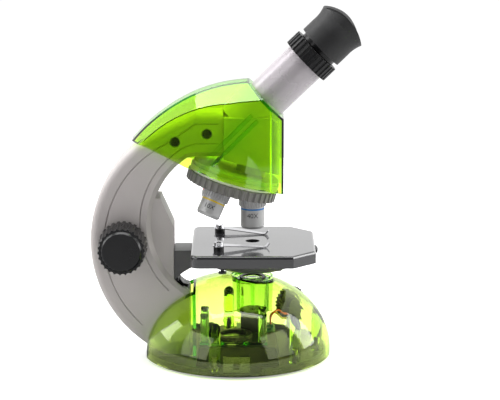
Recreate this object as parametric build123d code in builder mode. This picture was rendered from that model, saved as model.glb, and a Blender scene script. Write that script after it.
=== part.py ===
"""Kids' bench microscope with a C-shaped arm, a see-through domed base and a see-through head cover.

Frame: millimetres, +Z up. The origin is the centre of the round base, on the surface that it stands on.
+X points to the eyepiece side, where the user sits, and the plane Y = 0 cuts the microscope into halves.
"left" names are on the -Y side and "right" names are on the +Y side.
"""

from build123d import *
import math
import os

os.makedirs("parts", exist_ok=True)

# ---------------------------------------------------------------- driving dimensions
GAP = 0.15  # general gap between pieces that are clipped or screwed together
RUN = 0.05  # radial clearance of a shaft that turns in a bore

OPTIC_X = 10.5  # the optical axis stands here
APEX_Z = 165.5  # where the optical axis, the eyepiece axis and the nosepiece axis meet
TUBE_DEG = 44.0  # slope of the eyepiece axis
TURRET_DEG = 16.0  # tilt of the nosepiece axis

BASE_R = 62.7  # round base, outside
BASE_RISE = 49.7  # height of the dome above its straight rim
RIM_TOP = 5.6  # where the straight rim ends and the dome begins
RIM_BOTTOM = 2.0  # lower edge of the dome
DOME_WALL = 2.2
PLATE_BOTTOM = 1.5  # underside of the base plate, above the feet
PLATE_TOP = 3.5
SLOT_FRONT = -29.0  # front wall of the slot that the arm stands in
SLOT_HALF = 17.4

ARM_HALF = 15.0  # half the width of the arm
ARM_WALL = 2.4
ARM_OUTER = (-12.4, 79.7, 84.6)  # X, Z and radius of the arm's back
ARM_INNER = (-2.5, 92.0, 54.0)  # X, Z and radius of the arm's throat
ARM_FRONT = -31.2  # front of the arm's foot
ARM_FOOT = 3.7  # underside of the arm's foot
ARM_TOP = 166.7
ARM_END = -8.5  # where the arm meets the head block

SHAFT_X, SHAFT_Z = -75.0, 79.3  # focus shaft
SHAFT_R = 3.0
BUSH_R = 5.0
KNOB_BACK, KNOB_FRONT = 18.0, 39.5
GEAR_MODULE = 0.7
PINION_TEETH = 14
PITCH_R = GEAR_MODULE * PINION_TEETH / 2

HOUSING_FRONT = -41.8
HOUSING_HALF = 12.0
ROD_X, ROD_Y, ROD_R = -51.5, 6.5, 1.5

STAGE_TOP = 78.0
STAGE_BOTTOM = 70.0
STAGE_BACK, STAGE_FRONT, STAGE_HALF = -30.0, 52.0, 45.0
STAGE_WALL = 2.4
APERTURE_R = 4.7
BOWL_R = 36.0
POST_X, POST_Y = -11.7, 26.4  # stage clip posts
WHEEL_OFFSET = 17.5  # filter wheel axis, in front of the optical axis
WHEEL_R = 26.2
FILTER_R = 6.0

TURRET_TOP, TURRET_BOTTOM = 47.0, 53.5  # distances from the apex along the nosepiece axis
TURRET_R = 30.5
COVER_WALL = 2.0
COVER_FRONT = 30.8

# ---------------------------------------------------------------- planes and directions
sin_t, cos_t = math.sin(math.radians(TURRET_DEG)), math.cos(math.radians(TURRET_DEG))
sin_e, cos_e = math.sin(math.radians(TUBE_DEG)), math.cos(math.radians(TUBE_DEG))
APEX = (OPTIC_X, 0, APEX_Z)
TURRET_PLANE = Plane(APEX, x_dir=(cos_t, 0, -sin_t), z_dir=(-sin_t, 0, -cos_t))
TUBE_PLANE = Plane(APEX, x_dir=(sin_e, 0, -cos_e), z_dir=(cos_e, 0, sin_e))


def objective_plane(turn):
    """The plane at the apex that looks down an objective placed turn degrees round the nosepiece axis."""
    r = math.radians(turn)
    local = Vector(sin_t * math.cos(r), sin_t * math.sin(r), cos_t)
    down = TURRET_PLANE.from_local_coords(local) - Vector(*APEX)
    side = TURRET_PLANE.from_local_coords(Vector(-math.sin(r), math.cos(r), 0)) - Vector(*APEX)
    return Plane(APEX, x_dir=side, z_dir=down)


OBJECTIVES = {"objective_40x": (0, 78.0), "objective_10x": (120, 75.0), "objective_4x": (-120, 70.0)}


def save(part, name):
    """Labels a finished piece and writes it as its own STEP file."""
    part.label = name
    export_step(part, f"parts/{name}.step")


def fluted_profile(radius, count, depth):
    """A closed outline of count shallow flutes: straight ridges joined by arcs that dip by depth."""
    step = 360 / count
    for i in range(count):
        start = Vector(radius, 0).rotate(Axis.Z, i * step)
        crest = Vector(radius, 0).rotate(Axis.Z, (i + 0.45) * step)
        dip = Vector(radius - depth, 0).rotate(Axis.Z, (i + 0.725) * step)
        end = Vector(radius, 0).rotate(Axis.Z, (i + 1) * step)
        Line(start, crest)
        ThreePointArc(crest, dip, end)


# ---------------------------------------------------------------- base
def dome_body(inset):
    """The closed outer shape of the dome, shrunk by inset."""
    with BuildPart() as body:
        with BuildSketch(Plane.XZ) as half:
            with BuildLine():
                l1 = Line((0, RIM_BOTTOM - inset), (BASE_R - inset, RIM_BOTTOM - inset))
                l2 = Line(l1 @ 1, (BASE_R - inset, RIM_TOP))
                crown = EllipticalCenterArc(
                    (0, RIM_TOP), BASE_R - inset, BASE_RISE - inset, start_angle=0, arc_size=90
                )
                Line(crown @ 1, l1 @ 0)
            make_face()
        revolve(axis=Axis.Z)
    return body.part


CLIP_Y = BASE_R - 6.5  # where the dome's two snap tabs stand
DIMMER_TURN = 38.0  # direction of the brightness wheel round the base, from +X towards +Y
DIMMER_REACH, DIMMER_Z, DIMMER_R = 46.2, 28.0, 11.5
dimmer_dir = Vector(1, 0).rotate(Axis.Z, DIMMER_TURN)
dimmer_axis = Vector(0, -1).rotate(Axis.Z, DIMMER_TURN)
DIMMER_PLANE = Plane(
    dimmer_dir * DIMMER_REACH + Vector(0, 0, DIMMER_Z), x_dir=dimmer_dir, z_dir=dimmer_axis
)
BOSS_SPOTS = [(38, -34), (53.5, -4), (-6, 50), (-14, -50.6)]  # screw posts between dome and plate
TUBE_FLANGE_R = 13.8

with BuildPart() as base_dome:
    add(dome_body(0))
    add(dome_body(DOME_WALL), mode=Mode.SUBTRACT)
    # slot for the arm, with its own walls
    with BuildSketch(Plane.XY.offset(PLATE_TOP + GAP)) as slot_walls:
        with Locations(((-BASE_R + SLOT_FRONT) / 2, 0)):
            Rectangle(BASE_R + SLOT_FRONT, 2 * SLOT_HALF)
        offset(amount=DOME_WALL, kind=Kind.INTERSECTION)
        with Locations((-BASE_R - 20, 0)):
            Rectangle(40 + 2 * DOME_WALL, 120, mode=Mode.SUBTRACT)
    walls = extrude(amount=60, mode=Mode.PRIVATE)
    add(walls & dome_body(0.4), mode=Mode.ADD)
    with Locations(((-BASE_R + SLOT_FRONT) / 2 - 10, 0, 30)):
        Box(BASE_R + SLOT_FRONT + 20, 2 * SLOT_HALF, 80, mode=Mode.SUBTRACT)
    # screw posts that hang from the dome
    with BuildSketch(Plane.XY.offset(PLATE_TOP + GAP)):
        with Locations(*BOSS_SPOTS):
            Circle(3.6)
    posts = extrude(amount=50, mode=Mode.PRIVATE)
    add(posts & dome_body(0.4), mode=Mode.ADD)
    with BuildSketch(Plane.XY.offset(PLATE_TOP + GAP)):
        with Locations(*BOSS_SPOTS):
            Circle(1.3)
    extrude(amount=9, mode=Mode.SUBTRACT)
    # snap tabs at the two sides
    for side in (-1, 1):
        with Locations((0, side * (CLIP_Y + 1), 9)):
            tab = Box(17, 2, 11, mode=Mode.PRIVATE)
        add(tab & dome_body(0.4), mode=Mode.ADD)
        with Locations((0, side * (CLIP_Y + 1), 8)):
            Box(4, 6, 3.4, mode=Mode.SUBTRACT)
    # hole for the lamp tube at the crown
    with Locations((OPTIC_X, 0, 55)):
        Cylinder(TUBE_FLANGE_R + 0.4, 30, mode=Mode.SUBTRACT)
    # slot that the brightness wheel shows through
    with BuildSketch(DIMMER_PLANE.offset(-3.0)):
        Circle(DIMMER_R + 0.8)
        with Locations((-DIMMER_R, -DIMMER_R)):
            Rectangle(2 * DIMMER_R, 2 * DIMMER_R, mode=Mode.SUBTRACT)
    extrude(amount=6.0, mode=Mode.SUBTRACT)
save(base_dome.part, "base_dome")

BATTERY_R, BATTERY_L = 5.25, 44.5
BATTERY_Y = (-35.5, -24.6, -13.7)  # three AAA cells lie side by side along X
BATTERY_X, BATTERY_Z = 0.8, 9.2
BOX_TOP = 16.2

with BuildPart() as base_plate:
    with BuildSketch(Plane.XY.offset(PLATE_BOTTOM)):
        Circle(BASE_R - DOME_WALL - 0.3)
    extrude(amount=PLATE_TOP - PLATE_BOTTOM)
    with BuildSketch(Plane.XY.offset(PLATE_TOP)):
        Circle(BASE_R - DOME_WALL - 0.3)
        Circle(BASE_R - DOME_WALL - 2.1, mode=Mode.SUBTRACT)
        with Locations((-50, 0)):
            Rectangle(40, 2 * SLOT_HALF + 6, mode=Mode.SUBTRACT)
    extrude(amount=3.0)
    with Locations(*[(0, s * CLIP_Y, PLATE_TOP + 4) for s in (-1, 1)]):
        Box(32, 8, 8.1, mode=Mode.SUBTRACT)
    with BuildSketch(Plane.XY.offset(PLATE_BOTTOM)):
        with Locations((BATTERY_X, BATTERY_Y[1])):
            Rectangle(BATTERY_L + 5, 35, mode=Mode.ADD)
    extrude(amount=PLATE_TOP - PLATE_BOTTOM, mode=Mode.SUBTRACT)
    with Locations(*[(x, y, PLATE_BOTTOM) for x, y in BOSS_SPOTS]):
        with Locations(Rotation(180, 0, 0)):
            CounterBoreHole(radius=1.7, counter_bore_radius=3.2, counter_bore_depth=0.9, depth=4)
    with Locations(*[(x, y, PLATE_TOP - 1) for x, y in ((-44, -9), (-44, 9))]):
        Hole(1.7, depth=6)
save(base_plate.part, "base_plate")

with BuildPart() as battery_door:
    with BuildSketch(Plane.XY.offset(PLATE_BOTTOM + 0.1)):
        with Locations((BATTERY_X, BATTERY_Y[1])):
            RectangleRounded(BATTERY_L + 4.6, 34.6, 1.5)
    extrude(amount=1.6)
    grip_x = BATTERY_X + BATTERY_L / 2 - 3
    with Locations(*[(grip_x - 2.4 * i, BATTERY_Y[1], PLATE_BOTTOM) for i in range(4)]):
        Box(1.0, 14, 0.9, mode=Mode.SUBTRACT)
    with Locations((BATTERY_X - BATTERY_L / 2 + 0.4, BATTERY_Y[1], PLATE_BOTTOM + 1.6)):
        Hole(1.1, depth=6)
save(battery_door.part, "battery_door")

with BuildPart() as battery_box:
    with BuildSketch(Plane.XY.offset(PLATE_TOP + 0.05)) as foot_print:
        with Locations((BATTERY_X, BATTERY_Y[1])):
            Rectangle(BATTERY_L + 10, 38.6)
    with BuildSketch(Plane.XY.offset(BOX_TOP)):
        with Locations((BATTERY_X, BATTERY_Y[1])):
            Rectangle(BATTERY_L + 6, 36.6)
    loft()
    with Locations((BATTERY_X, BATTERY_Y[1], PLATE_TOP + 5.9)):
        Box(BATTERY_L + 3, 33, 11.8, mode=Mode.SUBTRACT)
save(battery_box.part, "battery_box")

with BuildPart() as batteries:
    for i, y in enumerate(BATTERY_Y):
        way = 1 if i % 2 == 0 else -1
        with BuildSketch(Plane((BATTERY_X, y, BATTERY_Z), z_dir=(way, 0, 0)).offset(-BATTERY_L / 2)):
            Circle(BATTERY_R)
        extrude(amount=BATTERY_L - 0.9)
        with BuildSketch(Plane((BATTERY_X, y, BATTERY_Z), z_dir=(way, 0, 0)).offset(BATTERY_L / 2 - 0.9)):
            Circle(1.8)
        extrude(amount=0.7)
save(batteries.part, "batteries")

with BuildPart() as battery_contacts:
    for i, y in enumerate(BATTERY_Y):
        way = 1 if i % 2 == 0 else -1
        with Locations((BATTERY_X + way * (BATTERY_L / 2 + 0.25), y, BATTERY_Z)):
            Box(0.5, 8, 8)
        with BuildSketch(Plane((BATTERY_X - way * (BATTERY_L / 2 + 1.0), y, BATTERY_Z), z_dir=(-way, 0, 0))):
            Circle(3.4)
            Circle(1.6, mode=Mode.SUBTRACT)
        extrude(amount=0.4)
save(battery_contacts.part, "battery_contacts")

FOOT_SPOTS = [(0, 0), (44, -26), (44, 26), (-42, -34), (-42, 34)]
with BuildPart() as rubber_feet:
    with BuildSketch(Plane.XY):
        with Locations(*FOOT_SPOTS):
            Circle(5.5)
    extrude(amount=PLATE_BOTTOM)
    chamfer(rubber_feet.faces().sort_by(Axis.Z)[:len(FOOT_SPOTS)].edges(), 0.4)
save(rubber_feet.part, "rubber_feet")

with BuildPart() as base_screws:
    for x, y in BOSS_SPOTS:
        with Locations((x, y, PLATE_BOTTOM + 0.45)):
            Cylinder(2.9, 0.8)
        with Locations((x, y, PLATE_BOTTOM + 5.8)):
            Cylinder(1.25, 10)
        with Locations((x, y, PLATE_BOTTOM)):
            Box(3.2, 0.7, 0.8, mode=Mode.SUBTRACT)
            Box(0.7, 3.2, 0.8, mode=Mode.SUBTRACT)
save(base_screws.part, "base_screws")

# ---------------------------------------------------------------- lamp inside the base
TUBE_OUT, TUBE_IN = 10.8, 8.9
LAMP_TUBE_BOTTOM, LAMP_TUBE_TOP = 30.0, 54.6

with BuildPart() as illuminator_tube:
    with BuildSketch(Plane.XY.offset(LAMP_TUBE_BOTTOM)):
        with Locations((OPTIC_X, 0)):
            Circle(TUBE_OUT)
            Circle(TUBE_IN, mode=Mode.SUBTRACT)
    extrude(amount=LAMP_TUBE_TOP - LAMP_TUBE_BOTTOM - 3)
    with BuildSketch(Plane.XY.offset(LAMP_TUBE_TOP - 4.2)):
        with Locations((OPTIC_X, 0)):
            Circle(TUBE_FLANGE_R)
            Circle(TUBE_IN, mode=Mode.SUBTRACT)
    extrude(amount=2.4)
    with BuildSketch(Plane.XY.offset(LAMP_TUBE_TOP - 1.8)):
        with Locations((OPTIC_X, 0)):
            Circle(TUBE_FLANGE_R)
            Circle(TUBE_FLANGE_R - 1.6, mode=Mode.SUBTRACT)
    extrude(amount=1.8)
    with Locations((OPTIC_X, 0, LAMP_TUBE_TOP)):
        for turn in (45, 135):
            with Locations(Rotation(0, 0, turn)):
                Box(40, 7, 2.0, mode=Mode.SUBTRACT)
    with Locations((OPTIC_X, 0, (LAMP_TUBE_BOTTOM + LAMP_TUBE_TOP - 4.2) / 2)):
        with PolarLocations(TUBE_OUT + 0.9, 4, start_angle=-90):
            Box(3.0, 3.0, LAMP_TUBE_TOP - 4.2 - LAMP_TUBE_BOTTOM)
    with Locations((OPTIC_X, 0, LAMP_TUBE_BOTTOM)):
        Cylinder(TUBE_IN, 80, mode=Mode.SUBTRACT)
save(illuminator_tube.part, "illuminator_tube")

with BuildPart() as condenser_ring:
    with BuildSketch(Plane.XY.offset(LAMP_TUBE_TOP - 3.6)):
        with Locations((OPTIC_X, 0)):
            Circle(TUBE_IN - GAP)
            Circle(6.6, mode=Mode.SUBTRACT)
    extrude(amount=2.8)
save(condenser_ring.part, "condenser_ring")

with BuildPart() as condenser_lens:
    with Locations((OPTIC_X, 0, LAMP_TUBE_TOP - 2.6)):
        Cylinder(6.5, 1.4)
    with Locations((OPTIC_X, 0, LAMP_TUBE_TOP - 14.2)):
        Sphere(13.6)
    with Locations((OPTIC_X, 0, LAMP_TUBE_TOP - 2.6)):
        Cylinder(6.5, 4.6, mode=Mode.INTERSECT)
    with Locations((OPTIC_X, 0, LAMP_TUBE_TOP - 20)):
        Box(60, 60, 33.4, mode=Mode.SUBTRACT)
save(condenser_lens.part, "condenser_lens")

FRAME_X, FRAME_Y = (-21.0, 17.0), (-34.0, -15.0)
FRAME_TOP = 36.0

with BuildPart() as lamp_frame:
    mid_x, mid_y = sum(FRAME_X) / 2, sum(FRAME_Y) / 2
    with Locations((mid_x, mid_y, BOX_TOP + 1.1)):
        Box(FRAME_X[1] - FRAME_X[0] + 6, FRAME_Y[1] - FRAME_Y[0] + 6, 1.8)
    for x in FRAME_X:
        for y in FRAME_Y:
            with Locations((x, y, (BOX_TOP + 2 + FRAME_TOP) / 2)):
                Cylinder(2.6, FRAME_TOP - BOX_TOP - 2)
            with Locations((x, y - 2.2, FRAME_TOP)):
                with Locations(Rotation(45, 0, 0)):
                    Box(7, 7, 3.4, mode=Mode.SUBTRACT)
    with Locations((mid_x, mid_y, BOX_TOP + 1.1)):
        Cylinder(10.5, 10, mode=Mode.SUBTRACT)
save(lamp_frame.part, "lamp_frame")

RING_X, RING_Y = mid_x, mid_y
with BuildPart() as reflector_ring:
    with BuildSketch(Plane.XY.offset(BOX_TOP + 2.1)):
        with Locations((RING_X, RING_Y)):
            Circle(14.0 / 1.15)
            Circle(8.6, mode=Mode.SUBTRACT)
    extrude(amount=2.6)
save(reflector_ring.part, "reflector_ring")

with BuildPart() as led_holder:
    with Locations((OPTIC_X, 0, 22.6)):
        Box(16, 15, 12.4)
        Cylinder(2.7, 14, mode=Mode.SUBTRACT)
    with BuildSketch(Plane.XY.offset(22.6 + 6.2)):
        with Locations((OPTIC_X, 0)):
            Circle(TUBE_IN - 0.3)
            Circle(2.7, mode=Mode.SUBTRACT)
    extrude(amount=2.6)
save(led_holder.part, "led_holder")

with BuildPart() as led_board:
    with BuildSketch(Plane.XY.offset(14.6)):
        with Locations((OPTIC_X + 2, 7)):
            RectangleRounded(26, 22, 1.5)
    extrude(amount=1.6)
    with Locations((OPTIC_X + 12, 9, 17.4)):
        Box(4, 6, 2.4)
    with Locations((OPTIC_X + 11, 0, 17.2)):
        Box(2.4, 1.4, 2.0)
    with Locations(*[(OPTIC_X + dx, dy + 4, 9.1) for dx, dy in ((-8, -6.6), (-8, 12), (12, -6.6), (12, 12))]):
        Cylinder(1.6, 11.0)
save(led_board.part, "led_board")

with BuildPart() as led:
    with Locations((OPTIC_X, 0, 21.6)):
        Cylinder(2.5, 8)
    with Locations((OPTIC_X, 0, 25.6)):
        Sphere(2.5)
    with Locations((OPTIC_X - 1.27, 0, 17.0), (OPTIC_X + 1.27, 0, 17.0)):
        Box(0.5, 0.5, 1.6)
save(led.part, "led")

# ---------------------------------------------------------------- brightness wheel
with BuildPart() as dimmer_wheel:
    with BuildSketch(DIMMER_PLANE.offset(-2.0)):
        with BuildLine():
            fluted_profile(DIMMER_R, 26, 1.1)
        make_face()
        Circle(1.5 + RUN, mode=Mode.SUBTRACT)
    extrude(amount=4.0)
save(dimmer_wheel.part, "dimmer_wheel")

with BuildPart() as dimmer_body:
    with BuildSketch(DIMMER_PLANE.offset(2.3)):
        Circle(4.5)
        with Locations((0, -8.5)):
            Rectangle(11, 13)
    extrude(amount=3.4)
    with BuildSketch(DIMMER_PLANE.offset(2.3)):
        Circle(1.5)
    extrude(amount=-5.2)
    with BuildSketch(DIMMER_PLANE.offset(2.3)):
        with Locations((0, -19.6)):
            Rectangle(9, 9.4)
    extrude(amount=2.0)
save(dimmer_body.part, "dimmer_body")


def wire(points, radius, name):
    """A thin wire along hand-placed points, with arcs as large as its runs allow."""
    runs = [(Vector(*b) - Vector(*a)).length for a, b in zip(points, points[1:])]
    radii = []
    for i in range(1, len(points) - 1):
        turn = (Vector(*points[i]) - Vector(*points[i - 1])).get_angle(
            Vector(*points[i + 1]) - Vector(*points[i])
        )
        radii.append(0.45 * min(runs[i - 1], runs[i]) / math.tan(math.radians(turn / 2)))
    print(name, "bend radii", [round(r, 1) for r in radii])
    with BuildPart() as cable:
        with BuildLine() as route:
            FilletPolyline(*points, radius=radii)
        start = Plane(route.line @ 0, z_dir=route.line % 0)
        with BuildSketch(start):
            Circle(radius)
        sweep()
    swept = math.pi * radius**2 * (route.wires()[0]).length
    print(name, "volume", round(cable.part.volume, 1), "section x length", round(swept, 1))
    save(cable.part, name)


WIRE_R = 0.7
wire(
    [
        (22.5, 7.5, 18.65), (22.5, 7.5, 23.5), (25.5, 9.0, 27.0),
        (28.5, 13.0, 27.0), (31.6, 18.6, 22.5), (34.8, 21.1, 22.0),
    ],
    WIRE_R,
    "wire_red",
)
wire(
    [
        (22.5, 10.5, 18.65), (22.4, 10.7, 22.5), (23.8, 13.0, 25.0),
        (27.0, 16.5, 24.0), (30.4, 19.7, 19.5), (33.85, 22.35, 19.0),
    ],
    WIRE_R,
    "wire_yellow",
)

# ---------------------------------------------------------------- arm
outer_x, outer_z, outer_r = ARM_OUTER
inner_x, inner_z, inner_r = ARM_INNER
THROAT_TOP = 138.0


def arc_point(centre, radius, degrees):
    """A point on a circle in the X-Z plane."""
    a = math.radians(degrees)
    return (centre[0] + radius * math.cos(a), centre[1] + radius * math.sin(a))


def arm_face(back, throat, end_x, foot_z, front_x):
    """Side view of the arm, with its back moved in by back and its throat moved out by throat."""
    r_out, r_in = outer_r - back, inner_r + throat
    top = ARM_TOP - back
    under = THROAT_TOP + throat
    with BuildSketch(Plane.XZ) as face:
        with BuildLine():
            a = (end_x, top)
            b = (-26.5, top)
            c = arc_point(ARM_OUTER, r_out, 114.6)
            foot_a = 180 + math.degrees(math.asin((outer_z - foot_z) / r_out))
            d = arc_point(ARM_OUTER, r_out, foot_a)
            e = (front_x, foot_z)
            front_a = 180 + math.degrees(math.acos((inner_x - front_x) / r_in))
            f = arc_point(ARM_INNER, r_in, front_a)
            under_a = 180 - math.degrees(math.asin((under - inner_z - 1.0) / r_in))
            g = arc_point(ARM_INNER, r_in, under_a)
            h = (g[0] + 5.0, under)
            Polyline(c, b, a)
            ThreePointArc(c, arc_point(ARM_OUTER, r_out, (114.6 + foot_a) / 2), d)
            Polyline(d, e, f)
            ThreePointArc(f, arc_point(ARM_INNER, r_in, (front_a + under_a) / 2), g)
            Polyline(g, h, (end_x, under), a)
        make_face()
    return face.sketch


def housing_face(wall):
    """Side view of the housing that guides the stage, moved in by wall."""
    front = HOUSING_FRONT - wall
    with BuildSketch(Plane.XZ) as face:
        with BuildLine():
            Polyline(
                (front, 50.0 + 0.5 * wall),
                (front, 90.0 - 0.2 * wall),
                (-50.5 - 0.6 * wall, 109.5 - 2.2 * wall),
                (-60.5, 109.5 - 2.2 * wall),
                (-60.5, 50.0 + 0.5 * wall),
                close=True,
            )
        make_face()
    return face.sketch


# X, Z and the side that the head is on, for the screws that hold the arm's halves together
ARM_SCREWS = [
    (-40.2, 147.9, -1), (-19.3, 153.2, -1), (-86.5, 104.0, 1),
    (-86.5, 56.0, 1), (-62.0, 28.0, 1), (-42.0, 9.5, 1),
]
TONGUE = (-24.0, 142.0, 161.0)  # head block's tongue inside the arm: start X, bottom Z and top Z

with BuildPart() as arm_outside:
    with BuildSketch(Plane.XZ):
        add(arm_face(0, 0, ARM_END, ARM_FOOT, ARM_FRONT))
    extrude(amount=ARM_HALF, both=True)
    rims = arm_outside.edges().filter_by(lambda e: abs(abs(e.center().Y) - ARM_HALF) < 0.01)
    back = [
        e for e in rims
        if e.center().Z > 160 or e.center().X < -70 or (-49 < e.center().X < -36 and e.center().Z > 158)
    ]
    back = [e for e in back if e.center().X < ARM_END - 0.5 and e.center().Z > 20]
    throat = [e for e in rims if (e.center().X - inner_x) ** 2 + (e.center().Z - inner_z) ** 2 < 56**2]
    throat = [e for e in throat if e.center().Z < 150 and e.center().X < ARM_END - 0.5 and e not in back]
    fillet(back, 5.0)
    chamfer(throat, 3.2)
    with BuildSketch(Plane.XZ):
        add(housing_face(0))
    extrude(amount=HOUSING_HALF, both=True)
print("arm outside", round(arm_outside.part.volume), len(back), len(throat))


def arm_shell(heads):
    """The -Y half of the hollow arm. heads is the side whose screws have their head seats in this half."""
    side = -1
    with BuildPart() as shell:
        add(arm_outside.part)
        with BuildSketch(Plane.XZ):
            add(arm_face(ARM_WALL, ARM_WALL, ARM_END + 1, ARM_FOOT + ARM_WALL, ARM_FRONT - ARM_WALL))
        extrude(amount=ARM_HALF - ARM_WALL, both=True, mode=Mode.SUBTRACT)
        with BuildSketch(Plane.XZ):
            add(housing_face(2.2))
        extrude(amount=HOUSING_HALF - 2.2, both=True, mode=Mode.SUBTRACT)
        # window for the bracket's neck and a notch for the bracket's lower edge
        with Locations((HOUSING_FRONT - 2, 0, 64.0)):
            Box(8, 8.6, 18.6, mode=Mode.SUBTRACT)
        with Locations((-38.3, 0, 53.0)):
            Box(7.0, 23.8, 8.4, mode=Mode.SUBTRACT)
        # bush seat for the focus shaft
        with BuildSketch(Plane((SHAFT_X, 0, SHAFT_Z), z_dir=(0, side, 0)).offset(ARM_HALF - ARM_WALL - 3)):
            Circle(7.6)
        extrude(amount=ARM_WALL + 1)
        with BuildSketch(Plane((SHAFT_X, 0, SHAFT_Z), z_dir=(0, side, 0))):
            Circle(BUSH_R)
        extrude(amount=ARM_HALF + 1, mode=Mode.SUBTRACT)
        # lugs that hold the guide rod
        with Locations((-52.0, side * 8.2, 48.0)):
            Box(5.4, 8.9, 3.0)
        with Locations((-52.3, side * 7.4, 98.5)):
            Box(5.0, 5.2, 3.0)
        with Locations((ROD_X, side * ROD_Y, 73.5)):
            Cylinder(ROD_R, 52, mode=Mode.SUBTRACT)
        # screw posts, all but the one at the head block's tongue
        with BuildSketch(Plane.XZ):
            with Locations(*[(x, z) for x, z, head in ARM_SCREWS if x != ARM_SCREWS[1][0]]):
                Circle(4.4)
        extrude(amount=ARM_HALF - 1)
        for x, z, head in ARM_SCREWS:
            recessed = head == heads
            with BuildSketch(Plane((x, 0, z), z_dir=(0, side, 0))):
                Circle(1.7 if recessed else 1.3)
            extrude(amount=ARM_HALF - (0 if recessed else 3), mode=Mode.SUBTRACT)
            if recessed:
                with BuildSketch(Plane((x, 0, z), z_dir=(0, side, 0)).offset(ARM_HALF - 2.0)):
                    Circle(3.4)
                extrude(amount=3, mode=Mode.SUBTRACT)
        # seat of the power switch on the throat
        with BuildSketch(SWITCH_PLANE.offset(-6)):
            Rectangle(9.6, 13.6)
        extrude(amount=12, mode=Mode.SUBTRACT)
        # two decorative grooves along the side
        for radius, outside in ((75.0, True), (61.5, False)):
            with BuildSketch(Plane.XZ.offset(ARM_HALF - 0.5)):
                add(groove_band(radius, outside))
            extrude(amount=1.0, mode=Mode.SUBTRACT)
        # keep only this half
        with Locations((-50, -side * 50, 85)):
            Box(200, 100, 260, mode=Mode.SUBTRACT)
    return shell.part


def groove_band(radius, outside):
    """Sketch of one groove line, seen from the side of the arm: an arc, a slanted run and a level run."""
    half = 0.35
    bend = -27.0
    if outside:
        centre, first, last, level = ARM_OUTER, 116.0, 228.0, 159.8
    else:
        centre, first, last, level = ARM_INNER, 121.0, 226.0, 146.9
    middle = (first + last) / 2
    top = Vector(*arc_point(centre, radius, first))
    corner = Vector(bend, level)
    with BuildSketch() as band:
        with BuildLine():
            inside = [arc_point(centre, radius - half, turn) for turn in (last, middle, first)]
            outer = [arc_point(centre, radius + half, turn) for turn in (first, middle, last)]
            ThreePointArc(*inside)
            Line(inside[2], outer[0])
            ThreePointArc(*outer)
            Line(outer[2], inside[0])
        make_face()
        for start, end in ((top, corner), (corner, Vector(-12.0, level))):
            run = end - start
            turn = math.degrees(math.atan2(run.Y, run.X))
            centre_point = (start + end) * 0.5
            with Locations(Location((centre_point.X, centre_point.Y), turn)):
                Rectangle(run.length + 0.4, 2 * half)
    return band.sketch


switch_turn = math.radians(232.0)
SWITCH_AT = (inner_x + inner_r * math.cos(switch_turn), 0, inner_z + inner_r * math.sin(switch_turn))
SWITCH_PLANE = Plane(
    SWITCH_AT,
    x_dir=(math.sin(switch_turn), 0, -math.cos(switch_turn)),
    z_dir=(-math.cos(switch_turn), 0, -math.sin(switch_turn)),
)

arm_left = arm_shell(-1)
arm_right = mirror(arm_shell(1), about=Plane.XZ)
save(arm_left, "arm_shell_left")
save(arm_right, "arm_shell_right")

with BuildPart() as arm_screws:
    for x, z, head in ARM_SCREWS:
        screw_plane = Plane((x, 0, z), z_dir=(0, head, 0))
        with BuildSketch(screw_plane.offset(ARM_HALF - 2.0)):
            Circle(2.9)
        extrude(amount=1.3)
        with BuildSketch(screw_plane.offset(ARM_HALF - 2.0)):
            Circle(1.25)
        extrude(amount=-20)
        with BuildSketch(screw_plane.offset(ARM_HALF - 1.3)):
            Rectangle(3.4, 0.7)
            Rectangle(0.7, 3.4)
        extrude(amount=1, mode=Mode.SUBTRACT)
save(arm_screws.part, "arm_screws")

with BuildPart() as guide_rods:
    with Locations(*[(ROD_X, s * ROD_Y, 73.5) for s in (-1, 1)]):
        Cylinder(ROD_R, 51.6)
save(guide_rods.part, "guide_rods")

with BuildPart() as focus_bushes:
    for side in (-1, 1):
        with BuildSketch(Plane((SHAFT_X, 0, SHAFT_Z), z_dir=(0, side, 0)).offset(8.5)):
            Circle(BUSH_R)
            Circle(SHAFT_R + RUN, mode=Mode.SUBTRACT)
        extrude(amount=ARM_HALF - 8.5)
        with BuildSketch(Plane((SHAFT_X, 0, SHAFT_Z), z_dir=(0, side, 0)).offset(ARM_HALF)):
            Circle(7.4)
            Circle(SHAFT_R + RUN, mode=Mode.SUBTRACT)
        extrude(amount=2.0)
save(focus_bushes.part, "focus_bushes")

# ---------------------------------------------------------------- power switch
with BuildPart() as switch_housing:
    with BuildSketch(SWITCH_PLANE.offset(-6.0)):
        Rectangle(9.4, 13.4)
        Rectangle(7.4, 11.0, mode=Mode.SUBTRACT)
    extrude(amount=6.0)
    with BuildSketch(SWITCH_PLANE.offset(-7.2)):
        Rectangle(9.4, 13.4)
    extrude(amount=1.2)
    with BuildSketch(SWITCH_PLANE.offset(-9.8)):
        with Locations((-2.5, 0), (2.5, 0)):
            Rectangle(0.8, 4)
    extrude(amount=2.6)
    with BuildSketch(Plane(SWITCH_PLANE.from_local_coords(Vector(0, 0, -2.6)), z_dir=(0, 1, 0))):
        Circle(0.9)
    extrude(amount=6, both=True)
save(switch_housing.part, "switch_housing")

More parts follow.
